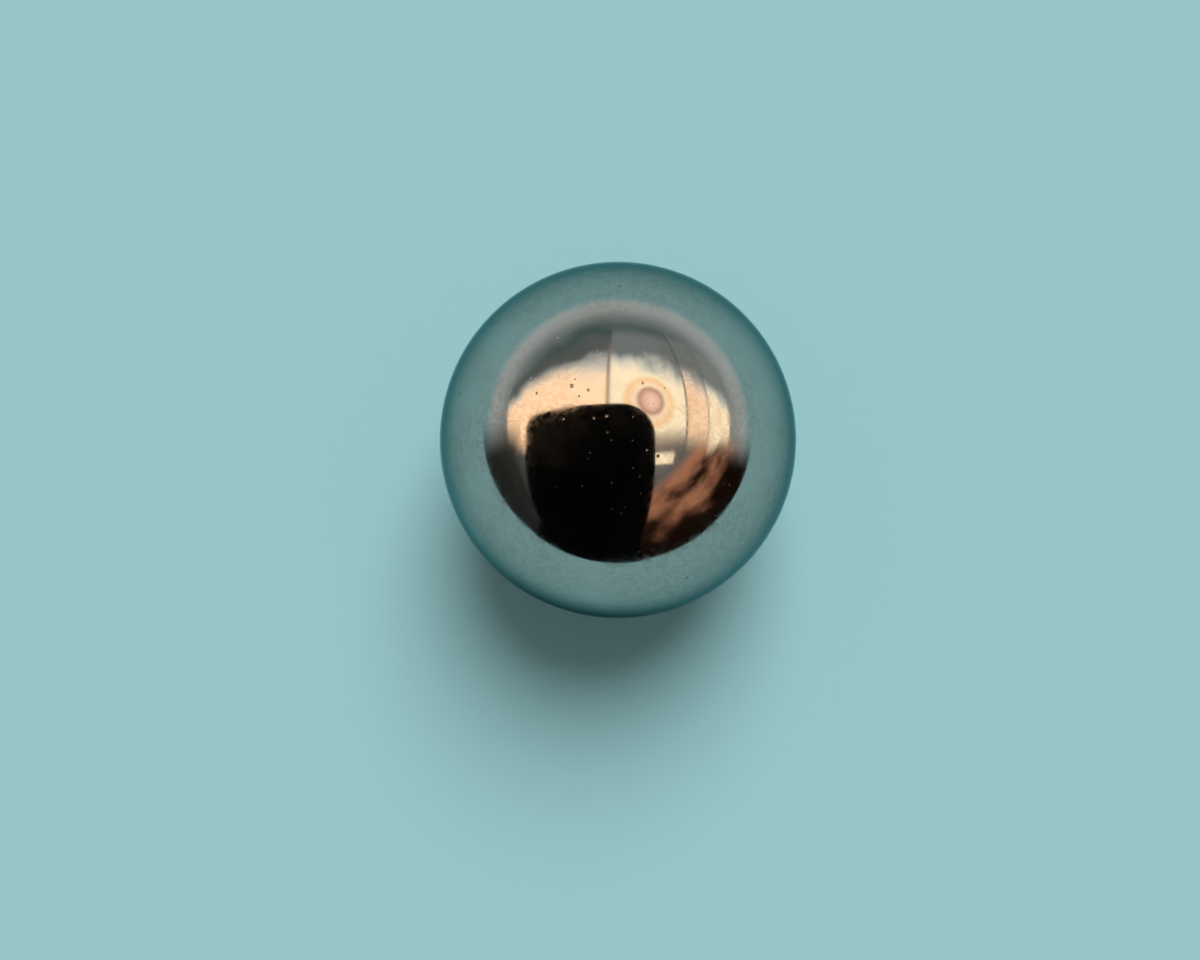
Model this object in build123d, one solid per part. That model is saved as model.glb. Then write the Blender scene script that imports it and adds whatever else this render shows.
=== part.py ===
from build123d import *
import os

# A loose steel bearing ball: one solid piece, ground and lapped to a true sphere all over.
# Sizes are in millimetres. The origin is the ball's centre, and +Z is up.

# The ball's diameter: 3/8 inch, a common size of loose bearing ball.
BALL_DIAMETER = 9.525


def make_ball():
    """The ball: a full sphere, with no flat, bore, pole or parting line."""
    ball = Sphere(radius=BALL_DIAMETER / 2)
    ball.label = "ball"
    return ball


os.makedirs("parts", exist_ok=True)
export_step(make_ball(), "parts/ball.step")
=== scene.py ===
# %% [markdown]
# # A polished steel bearing ball
#
# This lesson makes one loose bearing ball, about as wide as a fingernail, as it lies on a pale bench and
# is looked at from almost straight above. The real ball is forged from a slug of steel wire, hardened,
# ground between iron plates and then lapped in fine paste until it is a mirror.
#
# A mirror ball has hardly any colour of its own. Nearly all that the eye sees on it is the room, bent
# round into a circle, and so the lesson has three parts. The first makes a surface that is true enough to
# mirror well. The second gives it what handling leaves on steel: pits, dust and a thin film. The third
# builds the small studio that the steel mirrors.
#
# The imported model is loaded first, because it fixes the ball's size and place.

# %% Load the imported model
import math
import random

import bmesh
import bpy
import numpy as np
from mathutils import Matrix, Vector


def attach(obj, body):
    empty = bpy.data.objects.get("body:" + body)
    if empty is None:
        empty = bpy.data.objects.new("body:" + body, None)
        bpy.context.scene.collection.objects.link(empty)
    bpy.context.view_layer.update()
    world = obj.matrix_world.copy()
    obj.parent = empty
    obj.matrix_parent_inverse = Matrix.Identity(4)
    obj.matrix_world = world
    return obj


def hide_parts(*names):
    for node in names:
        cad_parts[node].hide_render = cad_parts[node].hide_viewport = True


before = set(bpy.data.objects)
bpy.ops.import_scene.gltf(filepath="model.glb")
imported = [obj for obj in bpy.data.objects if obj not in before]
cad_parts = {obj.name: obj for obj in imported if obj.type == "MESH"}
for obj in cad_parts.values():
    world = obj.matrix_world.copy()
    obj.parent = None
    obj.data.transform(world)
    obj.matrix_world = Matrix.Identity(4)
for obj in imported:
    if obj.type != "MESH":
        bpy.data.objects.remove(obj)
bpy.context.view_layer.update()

MM = 0.001
print("nodes in the model:", sorted(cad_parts))

# %% [markdown]
# The model's mesh is a coarse ball, but each of its corners lies on the true sphere. The distance from
# the centre to the furthest corner is therefore the real radius, and the box is a hair smaller than the
# sphere.

# %% Measure the ball
cad_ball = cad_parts["ball"]
RADIUS = max(corner.co.length for corner in cad_ball.data.vertices)
print(f"ball diameter {2 * RADIUS / MM:.3f} mm, coarse mesh of {len(cad_ball.data.polygons)} faces")

# %% [markdown]
# Blender's operators act on whatever is selected, and the loaded model arrives selected. The first two of
# these small helpers keep each step to the one thing that it is meant for. The third applies a modifier,
# so that its result is in the mesh and not waiting in a list.

# %% Helpers for selecting and applying


def select_only(thing):
    """Makes one object the only selected and the active one."""
    bpy.ops.object.select_all(action="DESELECT")
    thing.select_set(True)
    bpy.context.view_layer.objects.active = thing


def name_new(name):
    """Names the object that an operator has just added, and its mesh."""
    thing = bpy.context.active_object
    thing.name = name
    thing.data.name = name
    return thing


def apply_modifier(thing, kind, **settings):
    """Adds one modifier with these settings and applies it at once."""
    select_only(thing)
    modifier = thing.modifiers.new(kind.title(), kind)
    for setting, value in settings.items():
        setattr(modifier, setting, value)
    bpy.ops.object.modifier_apply(modifier=modifier.name)


# %% [markdown]
# ## The true sphere
#
# A sphere can be made in several ways. A UV sphere has two poles where thin triangles meet, and a mirror
# shows them as a pinched star. An icosphere has none, but its triangles can't be split neatly where a pit
# needs more of them. A cube blown up into a ball has only square faces and no poles, so this lesson
# starts with a cube.
#
# The cube is cut into nine squares a side, rounded by subdivision, and then every corner is cast out to
# the exact radius. The last step matters most: a surface that is off by a hundredth of the ball's radius
# bends a straight reflection into a wave.

# %% Blow a cube up into a ball
CUTS = 2
ROUNDS = 5

bpy.ops.object.select_all(action="DESELECT")
bpy.ops.mesh.primitive_cube_add(size=2 * RADIUS, location=(0, 0, 0))
ball = name_new("steel_ball")
bpy.ops.object.mode_set(mode="EDIT")
bpy.ops.mesh.select_all(action="SELECT")
bpy.ops.mesh.subdivide(number_cuts=CUTS)
bpy.ops.object.mode_set(mode="OBJECT")
apply_modifier(ball, "SUBSURF", levels=ROUNDS, render_levels=ROUNDS)


def cast_to_sphere(thing):
    """Moves every corner of the mesh out, or in, to the ball's radius."""
    apply_modifier(
        thing, "CAST", cast_type="SPHERE", factor=1.0, radius=0.0, use_radius_as_size=False, size=RADIUS)


cast_to_sphere(ball)
print(f"{len(ball.data.polygons)} square faces, edge about "
      f"{math.sqrt(4 * math.pi * RADIUS**2 / len(ball.data.polygons)) / MM:.3f} mm")

# %% [markdown]
# ## Pits
#
# A ball that has been in use, or rolled about on a bench, carries small pits where grit was pressed into
# it. They are 0.05 to 0.11 mm across. A pit is a tiny bowl, so it mirrors a different part of the room:
# it is dark where the steel around it is bright, and a little lighter where the steel is dark. A painted
# dot could only be one of the two, and so the pits are pressed into the mesh.
#
# The pits that show from above are listed one by one. Each has a tilt, which is the angle from the top of
# the ball, a bearing round it, counted from the right towards the back, and its width in millimetres.

# %% Places of the pits that show
HAND_PLACED_PITS = [
    # tilt, bearing, width
    (14, 159, 0.11),
    (9, 157, 0.08),
    (11, 171, 0.06),
    (14, 150, 0.05),
    (24, 171, 0.07),
    (27, 162, 0.05),
    (9, 38, 0.07),
    (14, 18, 0.05),
    (42, 89, 0.08),
    (58, 170, 0.10),
    (60, 164, 0.07),
    (63, -66, 0.08),
    (5, -128, 0.08),
    (8, -146, 0.07),
    (9, -108, 0.07),
    (16, -164, 0.06),
    (16, -58, 0.06),
    (19, -53, 0.07),
    (22, -73, 0.05),
    (32, -88, 0.07),
    (30, -127, 0.05),
    (18, -118, 0.05),
]


def on_ball(tilt, bearing):
    """The unit direction of a place on the ball, from its tilt and bearing in degrees."""
    tilt = math.radians(tilt)
    bearing = math.radians(bearing)
    flat = math.sin(tilt)
    return Vector((flat * math.cos(bearing), flat * math.sin(bearing), math.cos(tilt)))


pits = [(on_ball(tilt, bearing), width * MM / 2) for tilt, bearing, width in HAND_PLACED_PITS]
print(len(pits), "pits placed by hand")

# %% [markdown]
# The rest of the ball is just as worn, so more pits are scattered by a seeded draw. Each draw picks a
# height and a bearing evenly, which spreads the pits evenly over the ball's area. Draws that fall on the
# side of the listed pits are dropped.

# %% Scatter pits over the hidden sides
SCATTERED_PITS = 46
SCATTER_SEED = 37
SCATTER_WIDTHS = (0.05, 0.05, 0.06, 0.06, 0.07, 0.08, 0.10)
HAND_PLACED_TILT = 64

draw = random.Random(SCATTER_SEED)
while len(pits) < len(HAND_PLACED_PITS) + SCATTERED_PITS:
    tilt = math.degrees(math.acos(draw.uniform(-1, 1)))
    bearing = draw.uniform(-180, 180)
    width = draw.choice(SCATTER_WIDTHS)
    if tilt > HAND_PLACED_TILT:
        pits.append((on_ball(tilt, bearing), width * MM / 2))
print(len(pits), "pits in all")

# %% [markdown]
# A pit needs faces much smaller than itself. Cutting the whole ball that fine would take millions of
# faces, so only the faces round each pit are cut, three times over, and each time in a tighter circle.
# The new corners start on flat faces, a little inside the ball, and are cast back to its radius
# afterwards.

# %% Cut finer faces round each pit
CUT_CIRCLES = [
    # times the pit's radius, and a margin in millimetres
    (2.4, 0.070),
    (1.8, 0.035),
    (1.4, 0.018),
]


def corner_places(thing):
    """The mesh's corners as rows of x, y, z."""
    flat = np.empty(3 * len(thing.data.vertices))
    thing.data.vertices.foreach_get("co", flat)
    return flat.reshape(-1, 3)


def face_middles(thing):
    """The middles of the mesh's faces as rows of x, y, z."""
    flat = np.empty(3 * len(thing.data.polygons))
    thing.data.polygons.foreach_get("center", flat)
    return flat.reshape(-1, 3)


for times, margin in CUT_CIRCLES:
    middles = face_middles(ball)
    near = np.zeros(len(middles), bool)
    for direction, pit_radius in pits:
        away = np.linalg.norm(middles - np.array(direction) * RADIUS, axis=1)
        near |= away < times * pit_radius + margin * MM
    select_only(ball)
    bpy.ops.object.mode_set(mode="EDIT")
    bpy.ops.mesh.select_mode(type="FACE")
    bpy.ops.mesh.select_all(action="DESELECT")
    bpy.ops.object.mode_set(mode="OBJECT")
    ball.data.polygons.foreach_set("select", near)
    bpy.ops.object.mode_set(mode="EDIT")
    bpy.ops.mesh.subdivide(number_cuts=1, ngon=False)
    bpy.ops.object.mode_set(mode="OBJECT")
    print(f"cut {near.sum()} faces, now {len(ball.data.polygons)}")
cast_to_sphere(ball)

# %% [markdown]
# Each pit is pressed in with a Displace modifier. A vertex group says how deep each corner goes: 1 at the
# bottom of the deepest pit and 0 outside every pit. The bowl's section is a parabola, which has a crisp
# edge, as pressed steel has. Whether each corner lies well inside a pit is kept as an attribute, because
# the finish inside a pit is duller than outside it.

# %% Press the pits in
DEPTH_OF_RADIUS = 0.13
DULL_FROM_DEPTH = 0.05

places = corner_places(ball)
sunk = np.zeros(len(places))
for direction, pit_radius in pits:
    away = np.linalg.norm(places - np.array(direction) * RADIUS, axis=1) / pit_radius
    bowl = np.clip(1 - away**2, 0, None) * pit_radius * DEPTH_OF_RADIUS
    sunk = np.maximum(sunk, bowl)
deepest = sunk.max()

group = ball.vertex_groups.new(name="pressed")
for corner in np.flatnonzero(sunk):
    group.add([int(corner)], float(sunk[corner] / deepest), "REPLACE")
inside = ball.data.attributes.new("inside_pit", "FLOAT", "POINT")
inside.data.foreach_set("value", (sunk > DULL_FROM_DEPTH * deepest).astype(np.float32))
apply_modifier(
    ball, "DISPLACE", direction="NORMAL", vertex_group="pressed", mid_level=0.0, strength=-deepest)
print(f"deepest pit {deepest / MM:.3f} mm, {np.count_nonzero(sunk)} corners moved")

# %% [markdown]
# Smooth shading blends the faces' directions, so the mirror shows no facets. The new faces must all point
# outwards, because an inward face would mirror nothing. The ball then rides on the one body, and the
# model's coarse node is hidden.

# %% Smooth the ball, put it on the body and hide the coarse node
select_only(ball)
bpy.ops.object.mode_set(mode="EDIT")
bpy.ops.mesh.select_all(action="SELECT")
bpy.ops.mesh.normals_make_consistent(inside=False)
bpy.ops.object.mode_set(mode="OBJECT")
bpy.ops.object.shade_smooth()

check = bmesh.new()
check.from_mesh(ball.data)
triangles = sum(len(face.verts) - 2 for face in check.faces)
open_edges = sum(not edge.is_manifold for edge in check.edges)
print(f"{triangles} triangles, {open_edges} open edges, volume {check.calc_volume() / MM**3:.2f} cubic mm")
check.free()

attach(ball, "root")
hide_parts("ball")

# %% [markdown]
# ## What handling leaves on the steel
#
# The finish is built from small node groups, one for each thing that time does to bright steel. Each
# group reads the ball's own coordinates in millimetres and puts out a mask between 0 and 1, and the
# material says what the mask changes. A few helpers save typing: they add a node with its settings, start
# a group, and stand for the sums and ramps that every mask needs.

# %% Helpers for nodes


def add_node(tree, kind, inputs=(), **settings):
    """Adds a node. Settings are its properties, and inputs gives each named input a value or a socket."""
    node = tree.nodes.new(kind)
    for setting, value in settings.items():
        setattr(node, setting, value)
    for socket, value in dict(inputs).items():
        if isinstance(value, bpy.types.NodeSocket):
            tree.links.new(value, node.inputs[socket])
        else:
            node.inputs[socket].default_value = value
    return node


def start_group(name, numbers):
    """Starts a node group with these numbers as inputs and a Mask output. Returns it and its two ends."""
    tree = bpy.data.node_groups.new(name, "ShaderNodeTree")
    for number, value in numbers.items():
        socket = tree.interface.new_socket(number, in_out="INPUT", socket_type="NodeSocketFloat")
        socket.default_value = value
    tree.interface.new_socket("Mask", in_out="OUTPUT", socket_type="NodeSocketFloat")
    return tree, tree.nodes.new("NodeGroupInput"), tree.nodes.new("NodeGroupOutput")


def millimetres(tree):
    """The piece's own coordinates, in millimetres."""
    own = tree.nodes.new("ShaderNodeTexCoord")
    scaled = add_node(
        tree, "ShaderNodeVectorMath", {0: own.outputs["Object"], "Scale": 1 / MM}, operation="SCALE")
    return scaled.outputs["Vector"]


def math_node(tree, operation, first, second=0.0, clamp=False):
    """One sum on two numbers or sockets."""
    node = add_node(tree, "ShaderNodeMath", {0: first, 1: second}, operation=operation, use_clamp=clamp)
    return node.outputs[0]


def ramp(tree, value, low, high):
    """Goes smoothly from 0 at low to 1 at high, and the other way round if low is the larger."""
    node = add_node(
        tree, "ShaderNodeMapRange", {"Value": value, "From Min": low, "From Max": high},
        interpolation_type="SMOOTHSTEP")
    return node.outputs["Result"]


# %% [markdown]
# Dust is a scatter of grains. A Voronoi texture drops one point in each cell of a grid, and the distance
# to that point is a round grain. Each cell also has a random colour, which here decides whether the cell
# has a grain at all, so that the grains don't fill the ball evenly.

# %% Dust
SMALLEST_GRAIN = 0.4
GRAIN_CORE = 0.6

dust_group, dust_in, dust_out = start_group("Dust", {"Per mm": 2.0, "Share": 0.2, "Grain": 0.05})
grains = add_node(dust_group, "ShaderNodeTexVoronoi", {
    "Vector": millimetres(dust_group), "Scale": dust_in.outputs["Per mm"], "Randomness": 1.0})
lot = add_node(dust_group, "ShaderNodeSeparateColor", {"Color": grains.outputs["Color"]})
has_grain = math_node(dust_group, "LESS_THAN", lot.outputs["Red"], dust_in.outputs["Share"])
size = math_node(dust_group, "ADD", lot.outputs["Green"], SMALLEST_GRAIN)
size = math_node(dust_group, "MULTIPLY", dust_in.outputs["Grain"], size)
core = math_node(dust_group, "MULTIPLY", size, GRAIN_CORE)
grain = ramp(dust_group, grains.outputs["Distance"], size, core)
dust_group.links.new(math_node(dust_group, "MULTIPLY", grain, has_grain), dust_out.inputs["Mask"])
print("group", dust_group.name, "with", len(dust_group.nodes), "nodes")

# %% [markdown]
# Fingers leave a film of skin oil. It is far too thin to see head on, but it takes the edge off the
# mirror in cloudy patches a few millimetres wide, with finer streaks inside them. Two noises, one coarse
# and one fine, are multiplied, so that the streaks only show inside the patches.

# %% Film
STREAKS_FINER = 14.0
PATCH_STARTS, PATCH_FULL = 0.95, 1.15

film_group, film_in, film_out = start_group("Film", {"Per mm": 0.3, "Cover": 0.5})
patches = add_node(film_group, "ShaderNodeTexNoise", {
    "Vector": millimetres(film_group), "Scale": film_in.outputs["Per mm"],
    "Detail": 3.0, "Roughness": 0.55})
streaks_per_mm = math_node(film_group, "MULTIPLY", film_in.outputs["Per mm"], STREAKS_FINER)
streaks = add_node(film_group, "ShaderNodeTexNoise", {
    "Vector": millimetres(film_group), "Scale": streaks_per_mm,
    "Detail": 4.0, "Roughness": 0.65, "Distortion": 1.2})
starts = math_node(film_group, "SUBTRACT", PATCH_STARTS, film_in.outputs["Cover"])
full = math_node(film_group, "SUBTRACT", PATCH_FULL, film_in.outputs["Cover"])
cloud = ramp(film_group, patches.outputs["Fac"], starts, full)
broken = ramp(film_group, streaks.outputs["Fac"], 0.3, 0.7)
film_group.links.new(math_node(film_group, "MULTIPLY", cloud, broken), film_out.inputs["Mask"])
print("group", film_group.name, "with", len(film_group.nodes), "nodes")

# %% [markdown]
# ## Polished steel
#
# Bare steel is a metal, so its one colour is the colour of its reflection: a grey that is slightly warm
# and sends back about half of the light. Lapping leaves it very smooth. Film dulls it a little, pits are
# dull and dark inside, and a grain of dust isn't metal at all but a pale grey fleck that scatters light.
#
# Any clean metal turns white at its very edge, where it is seen almost flat. Here that edge is painted
# shade instead: the shader's Specular Tint is the colour that a metal keeps at that angle, and a dark
# blue-green there stands in for the shaded bench that the rim mirrors and gives the ball its deep rim.

# %% Start the steel
STEEL = (0.48, 0.475, 0.46, 1.0)
TARNISH = (0.40, 0.375, 0.34, 1.0)
PIT_FLOOR = (0.26, 0.225, 0.19, 1.0)
DUST_GREY = (0.24, 0.23, 0.21, 1.0)
PAINTED_RIM_SHADE = (0.19, 0.385, 0.41, 1.0)

steel = bpy.data.materials.new("lapped_steel")
steel.use_nodes = True
tree = steel.node_tree
shader = tree.nodes["Principled BSDF"]
# Painted shade: a dark blue-green edge colour stands in for the shaded bench mirrored at the rim.
shader.inputs["Specular Tint"].default_value = PAINTED_RIM_SHADE
print("material", steel.name)

# %% [markdown]
# A group is placed in the material with the numbers that suit this ball. There are two sizes of dust: a
# few coarse grains, and a finer kind that is thinner and shows less. Each mask then lays its own colour
# over the steel.

# %% Colour from the masks
COARSE_DUST_SHOWS = 0.6
FINE_DUST_SHOWS = 0.16


def use_group(tree, group, **numbers):
    """Places a group in a material with its own numbers and gives back its mask."""
    node = tree.nodes.new("ShaderNodeGroup")
    node.node_tree = group
    for number, value in numbers.items():
        node.inputs[number.replace("_", " ")].default_value = value
    return node.outputs["Mask"]


def mix_colour(tree, mask, first, second):
    """The first colour where the mask is 0, the second where it is 1."""
    node = add_node(tree, "ShaderNodeMix", {"Factor": mask}, data_type="RGBA")
    for socket, colour in ((6, first), (7, second)):
        if isinstance(colour, bpy.types.NodeSocket):
            tree.links.new(colour, node.inputs[socket])
        else:
            node.inputs[socket].default_value = colour
    return node.outputs[2]


film = use_group(tree, film_group, Per_mm=0.34, Cover=0.62)
coarse_dust = use_group(tree, dust_group, Per_mm=2.1, Share=0.10, Grain=0.06)
fine_dust = use_group(tree, dust_group, Per_mm=6.0, Share=0.20, Grain=0.13)
dust = math_node(
    tree, "MAXIMUM", math_node(tree, "MULTIPLY", coarse_dust, COARSE_DUST_SHOWS),
    math_node(tree, "MULTIPLY", fine_dust, FINE_DUST_SHOWS))
pit = add_node(tree, "ShaderNodeAttribute", attribute_name="inside_pit").outputs["Fac"]

colour = mix_colour(tree, film, STEEL, TARNISH)
colour = mix_colour(tree, pit, colour, PIT_FLOOR)
colour = mix_colour(tree, dust, colour, DUST_GREY)
tree.links.new(colour, shader.inputs["Base Color"])
tree.links.new(math_node(tree, "SUBTRACT", 1.0, dust, clamp=True), shader.inputs["Metallic"])
print("masks: film, pits and two sizes of dust")

# %% [markdown]
# Roughness decides how sharp the mirror is. Each mask adds its own share to that of the lapped steel.

# %% Roughness from the masks
MIRROR_ROUGHNESS = 0.042
ADDED_ROUGHNESS = [(film, 0.10), (pit, 0.22), (dust, 0.8)]

roughness = MIRROR_ROUGHNESS
for mask, added in ADDED_ROUGHNESS:
    roughness = math_node(tree, "ADD", roughness, math_node(tree, "MULTIPLY", mask, added), clamp=True)
tree.links.new(roughness, shader.inputs["Roughness"])
print(f"roughness from {MIRROR_ROUGHNESS} up, in {len(ADDED_ROUGHNESS)} additions")

# %% [markdown]
# Lapping also leaves the surface very slightly wavy, far below a thousandth of a millimetre. It can't be
# felt, but it keeps the edges in the mirror from being as clean as drawn lines. A bump far too faint to
# shade does that.

# %% Lapping waves and dust height
WAVES_PER_MM = 1.6
WAVES_OF_DUST_HEIGHT = 0.02
DUST_HEIGHT = 0.01 * MM

waves = add_node(tree, "ShaderNodeTexNoise", {
    "Vector": millimetres(tree), "Scale": WAVES_PER_MM, "Detail": 2.0, "Roughness": 0.5})
low_waves = math_node(tree, "MULTIPLY", waves.outputs["Fac"], WAVES_OF_DUST_HEIGHT)
height = math_node(tree, "ADD", low_waves, dust)
bump = add_node(tree, "ShaderNodeBump", {"Strength": 0.5, "Distance": DUST_HEIGHT, "Height": height})
tree.links.new(bump.outputs["Normal"], shader.inputs["Normal"])

ball.data.materials.clear()
ball.data.materials.append(steel)
print("material", steel.name, "with", len(tree.nodes), "nodes")

# %% [markdown]
# ## The bench
#
# The floor is a wide plain disc, pale with a little blue-green in it. Bright steel takes its rim colour
# from what it lies on, and so this tint, together with the painted rim shade in the steel, gives the
# ball its cool edge. The disc is wide enough for its edge to lie on the horizon when the camera is low.
# The helper gives a thing one plain dull finish, and will serve again for the black card.

# %% The floor
FLOOR_RADIUS = 0.7
FLOOR_TINT = (0.31, 0.565, 0.585, 1.0)


def dull_finish(thing, name, colour, roughness, shine):
    """Gives a thing one plain finish. Shine runs from 0, for none, to the usual 0.5."""
    finish = bpy.data.materials.new(name)
    finish.use_nodes = True
    dull = finish.node_tree.nodes["Principled BSDF"]
    dull.inputs["Base Color"].default_value = colour
    dull.inputs["Roughness"].default_value = roughness
    dull.inputs["Specular IOR Level"].default_value = shine
    thing.data.materials.append(finish)


bpy.ops.object.select_all(action="DESELECT")
bpy.ops.mesh.primitive_circle_add(
    vertices=96, radius=FLOOR_RADIUS, fill_type="NGON", location=(0, 0, -RADIUS))
floor = name_new("floor")
dull_finish(floor, "bench_top", FLOOR_TINT, roughness=0.9, shine=0.1)
print(f"floor {2 * FLOOR_RADIUS:.1f} m across")

# %% [markdown]
# ## What the mirror sees
#
# Bright metal is lit by what it mirrors, so a studio lights the things round it and not the metal. Here
# they are flat sheets: glowing panels above and behind the ball, and dark flags beside it. All of them
# are seen only by mirrors: the floor is lit by the room light further down, so that it stays plain.
#
# These helpers hide a thing from all but mirrors, start a material with nothing in it, and let it glow in
# one place and be clear in another.

# %% Helpers for things seen in the mirror


def only_in_mirrors(thing):
    """Lets an object be seen in reflections, and neither by the camera nor by the floor."""
    thing.visible_camera = False
    thing.visible_diffuse = False
    thing.visible_shadow = False


def bare_material(thing):
    """Gives a thing a material of its own name that holds only the output. Returns its node tree."""
    material = bpy.data.materials.new(thing.name)
    material.use_nodes = True
    tree = material.node_tree
    tree.nodes.remove(tree.nodes["Principled BSDF"])
    thing.data.materials.append(material)
    return tree


def glow_where(tree, mask, colour, strength):
    """Lets the material glow where the mask is 1 and be clear where it is 0."""
    light = add_node(tree, "ShaderNodeEmission", {"Color": colour, "Strength": strength})
    clear = tree.nodes.new("ShaderNodeBsdfTransparent")
    both = add_node(tree, "ShaderNodeMixShader", {0: mask, 1: clear.outputs[0], 2: light.outputs[0]})
    tree.links.new(both.outputs[0], tree.nodes["Material Output"].inputs["Surface"])


def colour_steps(tree, value, steps):
    """A colour that goes from step to step. Each step is a value between 0 and 1 and its colour."""
    node = add_node(tree, "ShaderNodeValToRGB", {"Fac": value})
    stops = node.color_ramp.elements
    stops.remove(stops[1])
    stops[0].position, stops[0].color = steps[0]
    for place, colour in steps[1:]:
        stops.new(place).color = colour
    return node.outputs["Color"]


# %% [markdown]
# A real panel is cloth over a lamp, so it is brightest near its front, spends its light unevenly towards
# the back, and has no hard edge. The stray light that felt on a flag catches is painted on as a glow of
# the same uneven kind, only far fainter. One function makes every sheet with those traits.

# %% A soft-edged sheet
CLOUDS_A_SIDE = 3.4


def fade_in(tree, along, low_edge, high_edge):
    """0 at both ends of a sheet and 1 between them. Each edge is a share of the sheet's side."""
    low = ramp(tree, along, -0.5, low_edge - 0.5)
    high = ramp(tree, along, 0.5, 0.5 - high_edge)
    return math_node(tree, "MULTIPLY", low, high)


def soft_sheet(name, middle, size, turn, front_glow, back_glow, blend, cloud, edges):
    """A glowing sheet. Places and sizes are in millimetres, and turn is in degrees about X and then Z.

    The glow goes from front_glow to back_glow, each a colour and a strength, over the stretch given by
    blend, from -0.5 at the front edge to 0.5 at the back edge. A cloud makes that stretch uneven. The edges
    are the soft shares of the left, right, front and back sides.
    """
    bpy.ops.object.select_all(action="DESELECT")
    tilt, spin = (math.radians(angle) for angle in turn)
    bpy.ops.mesh.primitive_plane_add(
        size=1, location=[place * MM for place in middle], rotation=(tilt, 0, spin))
    sheet = name_new(name)
    sheet.scale = (size[0] * MM, size[1] * MM, 1)

    tree = bare_material(sheet)
    own = tree.nodes.new("ShaderNodeTexCoord").outputs["Object"]
    along = add_node(tree, "ShaderNodeSeparateXYZ", {"Vector": own})
    clouds = add_node(tree, "ShaderNodeTexNoise", {"Vector": own, "Scale": CLOUDS_A_SIDE, "Detail": 4.0})
    uneven = math_node(tree, "MULTIPLY", math_node(tree, "SUBTRACT", clouds.outputs["Fac"], 0.5), cloud)
    spent = ramp(tree, math_node(tree, "ADD", along.outputs["Y"], uneven), *blend)

    front_colour, front_strength = front_glow
    back_colour, back_strength = back_glow
    colour = mix_colour(tree, spent, front_colour, back_colour)
    change = math_node(tree, "MULTIPLY", spent, back_strength - front_strength)
    strength = math_node(tree, "ADD", front_strength, change)
    left, right, front, back = edges
    across = fade_in(tree, along.outputs["X"], left, right)
    endways = fade_in(tree, along.outputs["Y"], front, back)
    glow_where(tree, math_node(tree, "MULTIPLY", across, endways), colour, strength)
    only_in_mirrors(sheet)


# %% [markdown]
# Four panels hang side by side, like windows in a ceiling, and a small one fills in beside the camera.
# Their warm light fills the upper half of the mirror, with thin dim lines where two of them meet. Behind
# the warm stretch each panel goes on as a dim grey haze, which is stronger on the right.

# %% Soft panels
PANEL_HEIGHT = 110
WARM = (1.0, 0.66, 0.41, 1.0)
PALE_WARM = (1.0, 0.80, 0.54, 1.0)
SPENT = (0.92, 1.0, 0.97, 1.0)
SPENT_FROM, SPENT_TO = 54, 114
UNEVEN_BY = 80
PANEL_EDGES = (0.06, 0.02, 0.16, 0.30)
PANELS = [
    # name; left, right, front and back in millimetres; colour; strength, and strength where it is spent
    ("left_panel", -330, -10, -62, 174, WARM, 2.35, 0.19),
    ("middle_panel", -13, 99, -34, 225, PALE_WARM, 2.15, 0.34),
    ("right_panel", 100, 168, -45, 255, WARM, 2.05, 0.36),
    ("far_right_panel", 166, 345, -62, 260, PALE_WARM, 2.1, 0.40),
    ("small_panel", 44, 80, -56, -34, PALE_WARM, 2.1, 0.19),
]

for name, left, right, front, back, colour, strength, spent_strength in PANELS:
    halfway, depth = (front + back) / 2, back - front
    soft_sheet(
        name, middle=((left + right) / 2, halfway, PANEL_HEIGHT), size=(right - left, depth), turn=(0, 0),
        front_glow=(colour, strength), back_glow=(SPENT, spent_strength),
        blend=((SPENT_FROM - halfway) / depth, (SPENT_TO - halfway) / depth),
        cloud=UNEVEN_BY / depth, edges=PANEL_EDGES)
print(len(PANELS), "panels")

# %% [markdown]
# Behind the middle panel hangs a round lamp, which shows through the cloth as faint rings. It is a disc
# of its own, just under the panel, whose glow goes up and down with the distance from its middle and
# fades out at its edge.

# %% The round lamp
LAMP_MIDDLE = (40, 27)
LAMP_RADIUS = 45
LAMP_STRENGTH = 2.1
LAMP_EDGE = 0.78
LAMP_RINGS = [
    # how far out, as a share of the radius, and the colour there
    (0.00, (0.95, 0.62, 0.50, 1.0)),
    (0.22, (0.80, 0.47, 0.34, 1.0)),
    (0.34, (0.46, 0.27, 0.17, 1.0)),
    (0.46, (1.00, 0.74, 0.50, 1.0)),
    (0.66, (0.94, 0.60, 0.30, 1.0)),
    (0.84, (1.00, 0.83, 0.55, 1.0)),
]

bpy.ops.object.select_all(action="DESELECT")
bpy.ops.mesh.primitive_circle_add(
    vertices=48, radius=LAMP_RADIUS * MM, fill_type="NGON",
    location=(LAMP_MIDDLE[0] * MM, LAMP_MIDDLE[1] * MM, (PANEL_HEIGHT - 1) * MM))
lamp = name_new("round_lamp")
tree = bare_material(lamp)
own = tree.nodes.new("ShaderNodeTexCoord").outputs["Object"]
from_middle = add_node(tree, "ShaderNodeVectorMath", {0: own}, operation="LENGTH").outputs["Value"]
outward = math_node(tree, "DIVIDE", from_middle, LAMP_RADIUS * MM)
rings = colour_steps(tree, outward, LAMP_RINGS)
glow_where(tree, ramp(tree, outward, 1.0, LAMP_EDGE), rings, LAMP_STRENGTH)
only_in_mirrors(lamp)
print("lamp with", len(LAMP_RINGS), "rings")

# %% [markdown]
# Flags are dark sheets that take light away. The left one gives the ball a dark side, and the right one,
# of brown felt, closes the front right corner. Each flag's faint glow is painted light for the stray
# light its felt catches, and it is brighter towards the top, so the right one is almost black at its foot.
# Both stand upright, so their front edge is the lower one. Metal needs such dark places beside the bright
# ones to look like metal.

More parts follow.
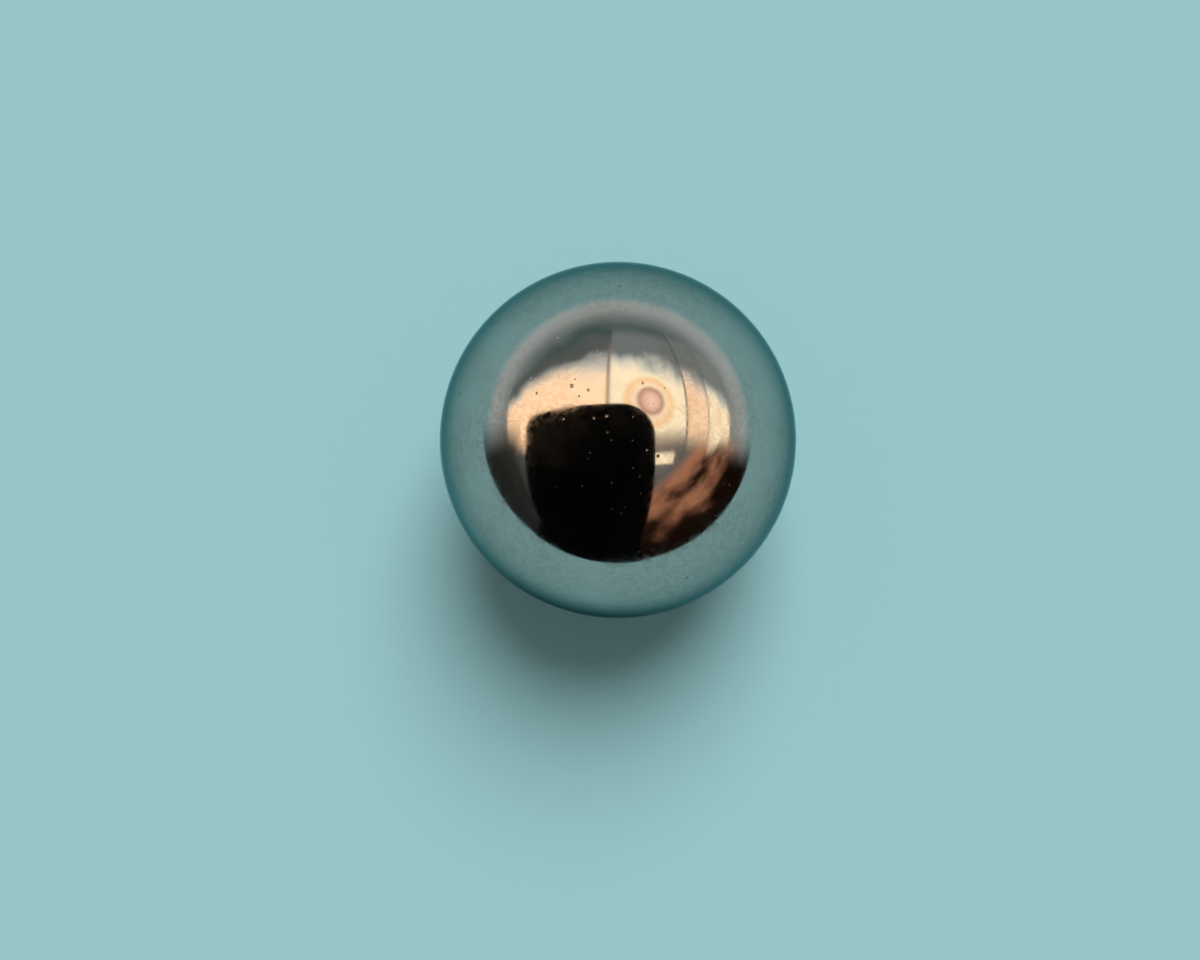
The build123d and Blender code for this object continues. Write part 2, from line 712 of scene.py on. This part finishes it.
# %% Flags
GREY_FELT_PAINTED_GLOW = (0.95, 1.0, 0.93, 1.0)
BROWN_FELT_PAINTED_GLOW = (1.0, 0.42, 0.23, 1.0)

# Painted light: each flag's felt glows, faintly at its foot and more strongly towards its top.
soft_sheet(
    "left_flag", middle=(-200, -195, 62), size=(470, 140), turn=(90, 90),
    front_glow=(GREY_FELT_PAINTED_GLOW, 0.03), back_glow=(GREY_FELT_PAINTED_GLOW, 0.11),
    blend=(-0.2, 0.6), cloud=0.8, edges=(0.02, 0.16, 0.02, 0.40))
soft_sheet(
    "right_flag", middle=(130, -130, 100), size=(400, 215), turn=(90, 45),
    front_glow=(BROWN_FELT_PAINTED_GLOW, 0.012), back_glow=(BROWN_FELT_PAINTED_GLOW, 0.72),
    blend=(-0.32, 0.38), cloud=2.4, edges=(0.08, 0.24, 0.02, 0.25))
print("two flags")

# %% [markdown]
# A camera this close is mirrored too, as a dark shape right in the middle of the ball. A studio makes use
# of it: a black card round the lens gives the metal a deep, quiet centre. The card starts as a flat
# rectangle at the height of the lens, and most of it lies to the left and the front.

# %% A flat card
CARD_HEIGHT = 34 * MM
CARD_LEFT, CARD_RIGHT = -51 * MM, 13.5 * MM
CARD_BACK, CARD_FRONT = 6 * MM, -150 * MM

bpy.ops.object.select_all(action="DESELECT")
bpy.ops.mesh.primitive_plane_add(size=1, location=(0, 0, 0))
card = name_new("black_card")
bpy.ops.object.mode_set(mode="EDIT")
bpy.ops.transform.resize(value=(CARD_RIGHT - CARD_LEFT, CARD_BACK - CARD_FRONT, 1))
bpy.ops.transform.translate(
    value=((CARD_LEFT + CARD_RIGHT) / 2, (CARD_BACK + CARD_FRONT) / 2, CARD_HEIGHT))
bpy.ops.object.mode_set(mode="OBJECT")
print(f"card {(CARD_RIGHT - CARD_LEFT) / MM:.1f} by {(CARD_BACK - CARD_FRONT) / MM:.0f} mm")

# %% [markdown]
# The two corners at the back are rounded, those at the front are pulled apart, and the front edge is
# folded down to the bench in a soft bend. Each step picks its corners by their place.

# %% Round, widen and fold the card
CARD_CORNER = 12 * MM
WIDER_LEFT, WIDER_RIGHT = 80 * MM, 17 * MM
BEND = 25 * MM


def select_corners(thing, wanted):
    """Selects the corners whose place passes the test, and leaves the mesh in edit mode."""
    bpy.ops.object.mode_set(mode="EDIT")
    bpy.ops.mesh.select_mode(type="VERT")
    bpy.ops.mesh.select_all(action="DESELECT")
    bpy.ops.object.mode_set(mode="OBJECT")
    for corner in thing.data.vertices:
        corner.select = bool(wanted(corner.co))
    bpy.ops.object.mode_set(mode="EDIT")


middle_of_card = (CARD_BACK + CARD_FRONT) / 2
select_corners(card, lambda place: place.y > middle_of_card)
bpy.ops.mesh.bevel(affect="VERTICES", offset=CARD_CORNER, segments=8)
bpy.ops.object.mode_set(mode="OBJECT")
for side, wider in ((-1, WIDER_LEFT), (1, WIDER_RIGHT)):
    select_corners(card, lambda place: place.y < middle_of_card and side * place.x > 0)
    bpy.ops.transform.translate(value=(side * wider, 0, 0))
    bpy.ops.object.mode_set(mode="OBJECT")
select_corners(card, lambda place: place.y < middle_of_card)
bpy.ops.mesh.select_mode(type="EDGE")
bpy.ops.mesh.extrude_edges_move(TRANSFORM_OT_translate={"value": (0, 0, -CARD_HEIGHT - RADIUS)})
bpy.ops.object.mode_set(mode="OBJECT")
select_corners(card, lambda place: place.y < middle_of_card and place.z > 0)
bpy.ops.mesh.select_mode(type="EDGE")
bpy.ops.mesh.bevel(affect="EDGES", offset=BEND, segments=8)
bpy.ops.object.mode_set(mode="OBJECT")

BLACK = (0.003, 0.0025, 0.0025, 1.0)
dull_finish(card, "black_card", BLACK, roughness=1.0, shine=0.0)
only_in_mirrors(card)
print("card of", len(card.data.vertices), "corners")

# %% [markdown]
# ## The room
#
# The world is the room round the bench. The camera and the mirror see a pale wall that starts in the
# floor's own colour, so that no line shows between the two, and darkens upwards. Straight above it is
# warm again, and stray light makes the upper part uneven. The floor, which is matt, takes an even soft
# light from the world instead, through the Light Path node, so that its colour comes out about as
# written.

# %% The world
ROOM_LIGHT = 0.24
STRAY_LIGHT = 0.5
STRAY_STARTS, STRAY_FULL = 0.30, 0.50
WALL_BY_HEIGHT = [
    # how high, as the sine of the angle above the horizon, and the colour there
    (0.00, FLOOR_TINT),
    (0.10, (0.60, 0.67, 0.66, 1.0)),
    (0.20, (0.56, 0.60, 0.585, 1.0)),
    (0.32, (0.31, 0.36, 0.35, 1.0)),
    (0.42, (0.15, 0.21, 0.205, 1.0)),
    (0.52, (0.10, 0.16, 0.16, 1.0)),
    (0.68, (0.20, 0.21, 0.20, 1.0)),
    (0.90, (0.52, 0.37, 0.27, 1.0)),
]

world = bpy.data.worlds.new("room")
bpy.context.scene.world = world
world.use_nodes = True
tree = world.node_tree
tree.nodes.clear()
direction = tree.nodes.new("ShaderNodeTexCoord").outputs["Generated"]
height = add_node(tree, "ShaderNodeSeparateXYZ", {"Vector": direction}).outputs["Z"]
drift = add_node(tree, "ShaderNodeTexNoise", {"Vector": direction, "Scale": 2.2, "Detail": 2.0})
stray = math_node(tree, "SUBTRACT", drift.outputs["Fac"], 0.5)
stray = math_node(tree, "MULTIPLY", stray, STRAY_LIGHT)
stray = math_node(tree, "MULTIPLY", stray, ramp(tree, height, STRAY_STARTS, STRAY_FULL))
up_wall = colour_steps(tree, math_node(tree, "ADD", height, stray), WALL_BY_HEIGHT)
seen = add_node(tree, "ShaderNodeBackground", {"Color": up_wall, "Strength": 1.0})
even = add_node(tree, "ShaderNodeBackground", {"Color": (1, 1, 1, 1), "Strength": ROOM_LIGHT})
path = tree.nodes.new("ShaderNodeLightPath")
is_seen = math_node(tree, "MAXIMUM", path.outputs["Is Camera Ray"], path.outputs["Is Glossy Ray"])
is_seen = math_node(tree, "MAXIMUM", is_seen, path.outputs["Is Transmission Ray"])
either = add_node(tree, "ShaderNodeMixShader", {0: is_seen, 1: even.outputs[0], 2: seen.outputs[0]})
result = tree.nodes.new("ShaderNodeOutputWorld")
tree.links.new(either.outputs[0], result.inputs["Surface"])
print("wall in", len(WALL_BY_HEIGHT), "steps")

# %% [markdown]
# One large soft lamp from behind, and a little from the right, gives the ball a shadow that falls towards
# the viewer. A sun lamp lights the whole floor evenly, and a wide angle makes its shadow soft. Mirrors
# don't see it.

# %% The soft key lamp
KEY_LIGHT = 2.75
KEY_SOFTNESS = 38
KEY_TILT = 30
KEY_FROM_RIGHT = 9

bpy.ops.object.select_all(action="DESELECT")
bpy.ops.object.light_add(type="SUN", location=(0, 0, 0.3))
key = bpy.context.active_object
key.name = "key_lamp"
key.data.energy = KEY_LIGHT
key.data.angle = math.radians(KEY_SOFTNESS)
key.rotation_euler = (math.radians(-KEY_TILT), math.radians(KEY_FROM_RIGHT), 0)
key.visible_glossy = False
print(f"key lamp {KEY_TILT} degrees behind the ball and {KEY_FROM_RIGHT} to the right")

# %% [markdown]
# ## The camera
#
# The camera looks down steeply from the front, 79 degrees above the bench, from only seven radii away. So
# close, it sees less than half of the ball, and the bench's edge closes in round the mirror. It aims a
# touch below and to the left of the ball's centre, which leaves the ball a little above and right of the
# middle of the picture. The three directions of the camera are set by hand, because a camera that looks
# almost straight down and is told only where to look also rolls by a few degrees.

# %% Place the camera
LOOK_DOWN = math.radians(79)
RADII_AWAY = 1 / 0.14
LENS = 37.8
SENSOR = 36.0
AIM_LEFT = 0.475 * MM
AIM_BELOW = 1.06 * MM

toward_camera = Vector((0, -math.cos(LOOK_DOWN), math.sin(LOOK_DOWN)))
picture_up = Vector((0, math.sin(LOOK_DOWN), math.cos(LOOK_DOWN)))
bpy.ops.object.select_all(action="DESELECT")
bpy.ops.object.camera_add(location=toward_camera * RADII_AWAY * RADIUS)
camera = bpy.context.active_object
camera.name = "camera"
aim = Vector((-AIM_LEFT, 0, 0)) - picture_up * AIM_BELOW
backward = (camera.location - aim).normalized()
rightward = picture_up.cross(backward).normalized()
upward = backward.cross(rightward)
camera.rotation_euler = Matrix((rightward, upward, backward)).transposed().to_euler()
camera.data.lens = LENS
camera.data.sensor_width = SENSOR
camera.data.clip_start = 1 * MM
camera.data.clip_end = 5.0
camera.data.dof.use_dof = False
bpy.context.scene.camera = camera
bpy.context.scene.view_settings.view_transform = "Standard"
print(f"camera {camera.location.length / MM:.1f} mm from the centre of the ball")
